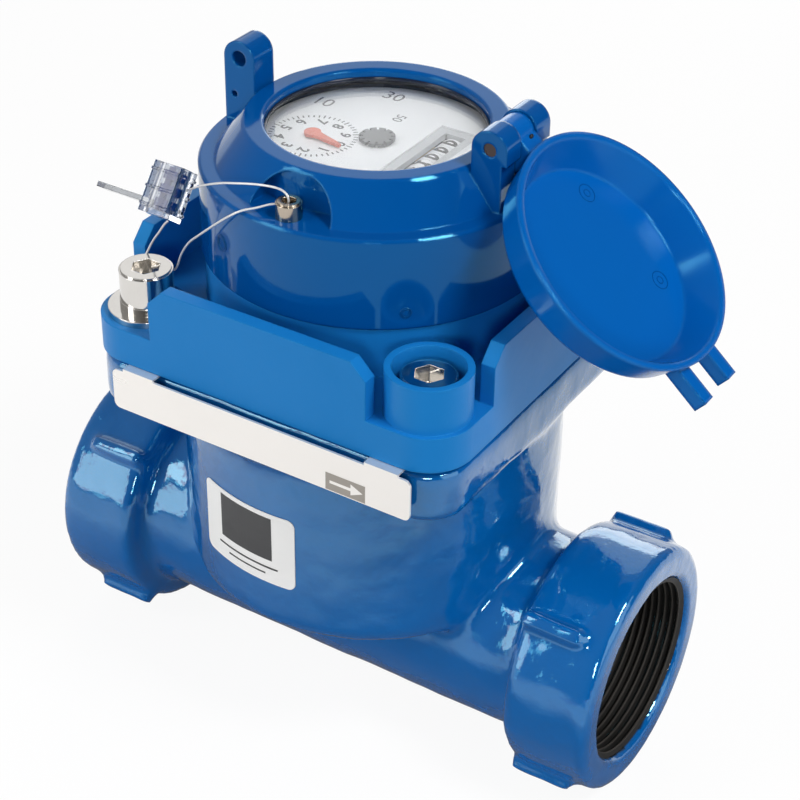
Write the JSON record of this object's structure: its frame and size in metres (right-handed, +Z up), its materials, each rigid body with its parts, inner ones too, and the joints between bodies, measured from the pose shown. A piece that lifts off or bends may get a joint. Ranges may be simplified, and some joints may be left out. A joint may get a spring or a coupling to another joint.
{
  "type": "threaded water meter",
  "caption": "In-line water meter with threaded pipe ends, a bowl-shaped casting, a bolted cover, a geared register under a hinged lid and a wire seal.",
  "frame": {"origin": "on the pipe axis where the inlet thread begins, just inside the inlet mouth", "axes": "+X along the pipe with the flow, +Z up through the register, millimetres in the source"},
  "size_m": [0.2133, 0.1279, 0.215],
  "materials": {
    "casting_paint": "glossy",
    "cover_plastic": "satin",
    "ring_plastic": "glossy",
    "nickel": "polished",
    "plate_steel": "satin",
    "label_film": "satin",
    "pin_brown": "satin",
    "black_rubber": "matte",
    "clear_lens": "clear",
    "dial_white": "satin",
    "can_grey": "satin",
    "base_plastic": "satin",
    "brass_parts": "satin",
    "bracket_steel": "satin",
    "drum_white": "satin",
    "star_grey": "satin",
    "hand_red": "satin",
    "magnet": "matte",
    "insert_plastic": "satin",
    "rotor_plastic": "satin",
    "vane_plastic": "satin",
    "clear_plastic": "clear",
    "seal_blue": "glossy",
    "wire_steel": "satin"
  },
  "bodies": {
    "meter": {"body_casting": "casting_paint", "cover_gasket": "black_rubber", "top_cover": "cover_plastic", "cover_screws": "nickel", "cover_washers": "nickel", "seal_bolt": "nickel", "seal_bolt_washer": "nickel", "seal_bolt_spring_washer": "nickel", "nameplate": "plate_steel", "label": "label_film", "register_ring": "ring_plastic", "ring_screw": "nickel", "hinge_pin": "pin_brown", "lens_gasket": "black_rubber", "lens": "clear_lens", "dial_plate": "dial_white", "register_can": "can_grey", "register_base": "base_plastic", "movement_pillars": "brass_parts", "movement_plate": "brass_parts", "drum_bracket": "bracket_steel", "drum_axle": "bracket_steel", "measuring_insert": "insert_plastic", "insert_o_ring": "black_rubber", "inlet_straightener": "vane_plastic", "outlet_bearing": "vane_plastic", "spindle_bush": "vane_plastic", "seal_body": "clear_plastic", "seal_rotor": "seal_blue", "seal_wire": "wire_steel"},
    "lid": {"lid": "ring_plastic"},
    "rotor": {"rotor": "rotor_plastic", "rotor_shaft": "bracket_steel", "worm": "brass_parts"},
    "spindle": {"drive_spindle": "rotor_plastic", "drive_magnet": "magnet"},
    "follower": {"follower_magnet": "magnet", "follower_arbor": "brass_parts"},
    "star": {"star_wheel": "star_grey"},
    "transfer": {"transfer_arbor": "brass_parts"},
    "pointer": {"pointer_arbor": "brass_parts", "pointer_hand": "hand_red"},
    "drum_1": {"drum_1": "drum_white"},
    "drum_2": {"drum_2": "drum_white"},
    "drum_3": {"drum_3": "drum_white"},
    "drum_4": {"drum_4": "drum_white"},
    "drum_5": {"drum_5": "drum_white"},
    "drum_6": {"drum_6": "drum_white"}
  },
  "joints": [
    {"name": "lid_hinge", "type": "hinge", "parent": "meter", "child": "lid", "pos_m": [0.1426, 0, 0.168], "axis": [0, 1, 0], "range_deg": [-221.4, 0]},
    {"name": "rotor_spin", "type": "hinge", "parent": "meter", "child": "rotor", "pos_m": [0.0988, 0, 0], "axis": [1, 0, 0], "continuous": true},
    {"name": "spindle_spin", "type": "hinge", "parent": "meter", "child": "spindle", "pos_m": [0.0988, 0.01104, 0], "axis": [0, 0, 1], "continuous": true},
    {"name": "follower_spin", "type": "hinge", "parent": "meter", "child": "follower", "pos_m": [0.0988, 0.01104, 0.1], "axis": [0, 0, 1], "continuous": true},
    {"name": "star_spin", "type": "hinge", "parent": "meter", "child": "star", "pos_m": [0.0988, 0, 0.11], "axis": [0, 0, 1], "continuous": true},
    {"name": "transfer_spin", "type": "hinge", "parent": "meter", "child": "transfer", "pos_m": [0.09577, -0.01734, 0.11], "axis": [0, 0, 1], "continuous": true},
    {"name": "pointer_spin", "type": "hinge", "parent": "meter", "child": "pointer", "pos_m": [0.0818, -0.008, 0.11], "axis": [0, 0, 1], "continuous": true},
    {"name": "drum_1_spin", "type": "hinge", "parent": "meter", "child": "drum_1", "pos_m": [0.1158, 0, 0.1466], "axis": [0, 1, 0], "continuous": true},
    {"name": "drum_2_spin", "type": "hinge", "parent": "meter", "child": "drum_2", "pos_m": [0.1158, 0, 0.1466], "axis": [0, 1, 0], "continuous": true},
    {"name": "drum_3_spin", "type": "hinge", "parent": "meter", "child": "drum_3", "pos_m": [0.1158, 0, 0.1466], "axis": [0, 1, 0], "continuous": true},
    {"name": "drum_4_spin", "type": "hinge", "parent": "meter", "child": "drum_4", "pos_m": [0.1158, 0, 0.1466], "axis": [0, 1, 0], "continuous": true},
    {"name": "drum_5_spin", "type": "hinge", "parent": "meter", "child": "drum_5", "pos_m": [0.1158, 0, 0.1466], "axis": [0, 1, 0], "continuous": true},
    {"name": "drum_6_spin", "type": "hinge", "parent": "meter", "child": "drum_6", "pos_m": [0.1158, 0, 0.1466], "axis": [0, 1, 0], "continuous": true}
  ],
  "couplings": [
    {"joint": "spindle_spin", "follows": "rotor_spin", "ratio": 0.083333},
    {"joint": "follower_spin", "follows": "rotor_spin", "ratio": 0.083333},
    {"joint": "star_spin", "follows": "rotor_spin", "ratio": -0.041667},
    {"joint": "transfer_spin", "follows": "rotor_spin", "ratio": 0.0092593},
    {"joint": "pointer_spin", "follows": "rotor_spin", "ratio": -0.0018519},
    {"joint": "drum_1_spin", "follows": "rotor_spin", "ratio": 0.00018519},
    {"joint": "drum_2_spin", "follows": "rotor_spin", "ratio": 0.000018519},
    {"joint": "drum_3_spin", "follows": "rotor_spin", "ratio": 0.0000018519},
    {"joint": "drum_4_spin", "follows": "rotor_spin", "ratio": 0.00000018519},
    {"joint": "drum_5_spin", "follows": "rotor_spin", "ratio": 0.000000018519},
    {"joint": "drum_6_spin", "follows": "rotor_spin", "ratio": 0.0000000018519}
  ]
}
